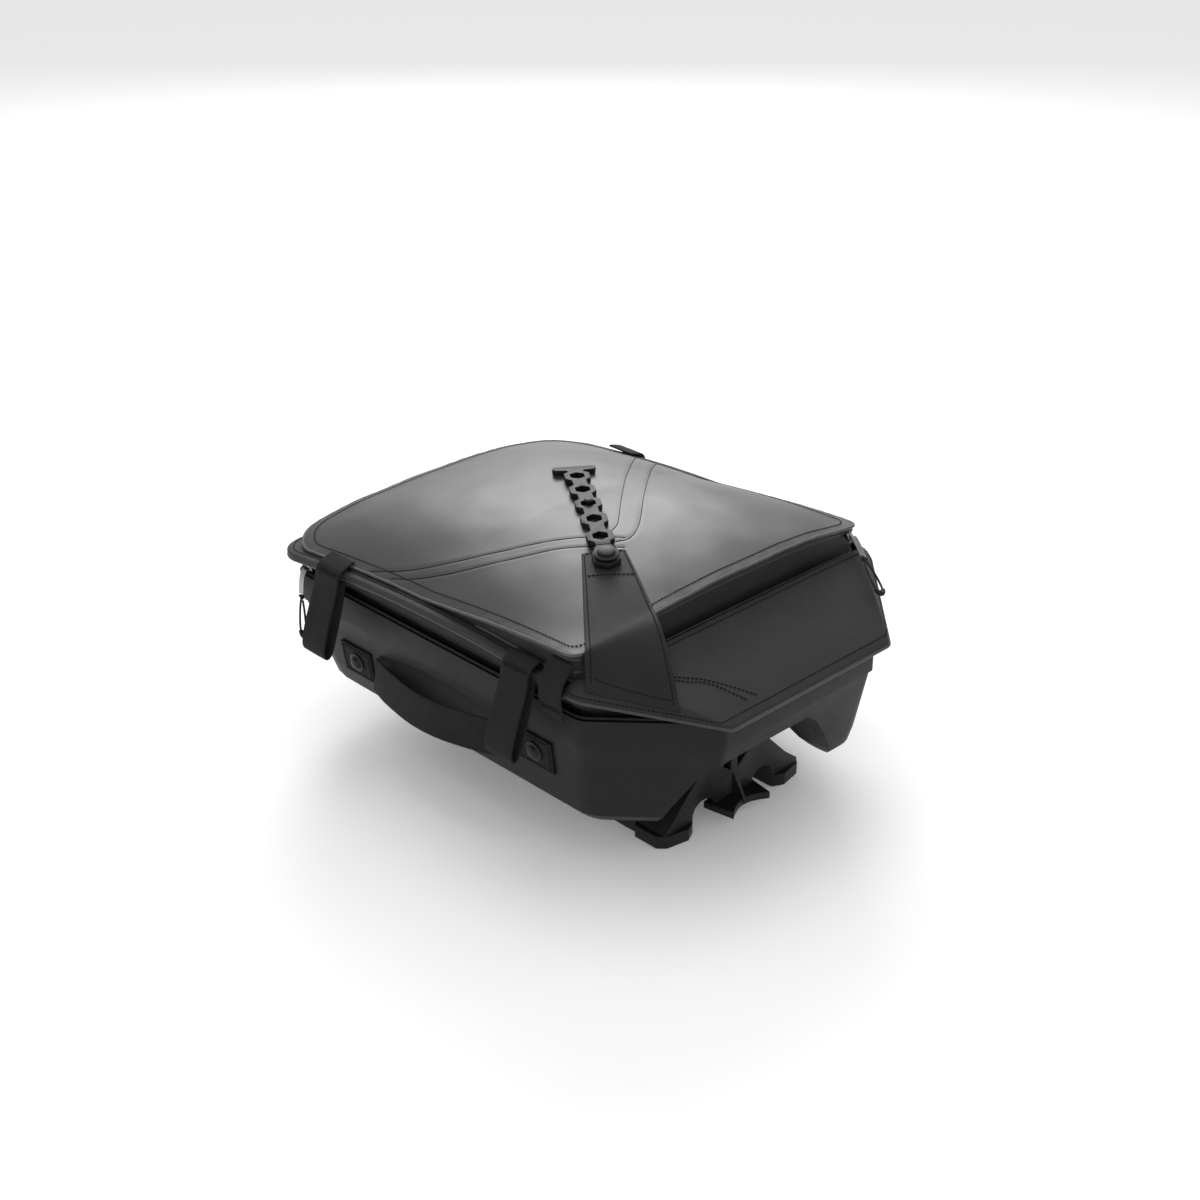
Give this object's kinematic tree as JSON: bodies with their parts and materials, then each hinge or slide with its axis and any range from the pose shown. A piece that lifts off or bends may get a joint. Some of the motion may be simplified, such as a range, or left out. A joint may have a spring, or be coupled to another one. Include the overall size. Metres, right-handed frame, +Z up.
{
  "type": "tail bag",
  "caption": "Semi-rigid tail bag: moulded tub, zipped fabric hood with a lid pocket, corner strap, grab handle, webbing loops and a hook plate below.",
  "frame": {"origin": "centre of the hook plate's seat face, at the bottom of the seat bar", "axes": "+Z up, +Y from the sloping end panel to the hinged end, +X across, away from the grab handle's side"},
  "size_m": [0.5024, 0.578, 0.2951],
  "materials": {
    "moulded_shell": "fine-grained black moulded shell",
    "soft_band": "woven black band beside the zip",
    "coated_fabric": "satin coated grey fabric",
    "panel_fabric": "dark coated woven panel fabric",
    "webbing": "black nylon webbing",
    "zip_chain": "black coil zip and tape",
    "zip_metal": "satin metal",
    "cord": "braided black cord",
    "rubber": "black rubber",
    "hard_plastic": "satin black plastic",
    "steel": "plated steel"
  },
  "bodies": {
    "base": {"base_tub": "moulded_shell", "gusset_lower": "soft_band", "main_zip_chain": "zip_chain", "hood_hinge_tape": "soft_band", "handle_patch_rear": "webbing", "handle_patch_front": "webbing", "handle_rivet_rear": "hard_plastic", "handle_rivet_front": "hard_plastic", "hook_plate": "hard_plastic", "plate_screw_1": "steel", "plate_screw_2": "steel", "plate_screw_3": "steel", "plate_screw_4": "steel", "plate_nut_1": "steel", "plate_nut_2": "steel", "plate_nut_3": "steel", "plate_nut_4": "steel", "latch_pin_left": "steel", "latch_pin_right": "steel"},
    "hood": {"gusset_upper": "soft_band", "storm_flap": "panel_fabric", "end_panel": "panel_fabric", "lid_rear": "coated_fabric", "pocket_floor": "panel_fabric", "pocket_wall": "panel_fabric", "pocket_zip_chain": "zip_chain", "lid_post": "hard_plastic", "keeper_left_rear": "webbing", "keeper_left_front": "webbing", "keeper_right_rear": "webbing", "keeper_right_front": "webbing", "corner_tab": "webbing"},
    "lid_flap": {"lid_front": "coated_fabric"},
    "anchor_strap": {"corner_strap": "coated_fabric", "strap_button": "hard_plastic", "rubber_end_link": "rubber"},
    "link_strap": {"rubber_strap": "rubber"},
    "handle": {"side_handle": "webbing"},
    "main_slider": {"main_zip_slider": "zip_metal"},
    "main_pull": {"main_zip_tab": "zip_metal", "main_zip_knot": "cord", "main_zip_cord": "cord", "main_zip_grip": "rubber"},
    "pocket_slider": {"pocket_zip_slider": "zip_metal"},
    "pocket_pull": {"pocket_zip_tab": "zip_metal", "pocket_zip_knot": "cord", "pocket_zip_cord": "cord", "pocket_zip_grip": "rubber"},
    "latch_left": {"latch_lever_left": "hard_plastic"},
    "latch_right": {"latch_lever_right": "hard_plastic"}
  },
  "joints": [
    {"name": "hood_hinge", "type": "hinge", "parent": "base", "child": "hood", "pos_m": [0, 0.3, 0.191], "axis": [-1, 0, 0], "range_deg": [0, 70]},
    {"name": "strap_swing", "type": "hinge", "parent": "hood", "child": "anchor_strap", "pos_m": [-0.18, -0.187, 0.2117], "axis": [0.6545, -0.7327, -0.1865], "range_deg": [0, 200]},
    {"name": "lid_flap_hinge", "type": "hinge", "parent": "hood", "child": "lid_flap", "pos_m": [0, 0.034, 0.2821], "axis": [-1, 0, 0], "range_deg": [0, 25]},
    {"name": "link_strap_lift", "type": "hinge", "parent": "anchor_strap", "child": "link_strap", "pos_m": [-0.0717, -0.037, 0.2893], "axis": [0.8108, -0.5853, 0], "range_deg": [0, 70]},
    {"name": "handle_swing", "type": "hinge", "parent": "base", "child": "handle", "pos_m": [-0.2005, -0.041, 0.1393], "axis": [0, 0.9986, -0.0531], "range_deg": [0, 60]},
    {"name": "main_zip_slide", "type": "slide", "parent": "base", "child": "main_slider", "axis": [0, -1, 0], "range_m": [0, 0.1]},
    {"name": "main_pull_hinge", "type": "hinge", "parent": "main_slider", "child": "main_pull", "pos_m": [-0.203, 0.283, 0.1945], "axis": [0, 1, 0], "range_deg": [0, 60]},
    {"name": "pocket_zip_slide", "type": "slide", "parent": "hood", "child": "pocket_slider", "axis": [-1, 0, 0], "range_m": [0, 0.24]},
    {"name": "pocket_pull_hinge", "type": "hinge", "parent": "pocket_slider", "child": "pocket_pull", "pos_m": [0.1864, -0.1455, 0.2488], "axis": [-0.9034, 0.2913, 0.3146], "range_deg": [0, 70]},
    {"name": "latch_left_swing", "type": "hinge", "parent": "base", "child": "latch_left", "pos_m": [-0.078, 0.178, 0.024], "axis": [0, 0, 1], "range_deg": [0, 90]},
    {"name": "latch_right_swing", "type": "hinge", "parent": "base", "child": "latch_right", "pos_m": [0.078, 0.178, 0.024], "axis": [0, 0, -1], "range_deg": [0, 90]}
  ],
  "couplings": [
    {"joint": "lid_flap_hinge", "follows": "strap_swing", "ratio": 0.125}
  ]
}
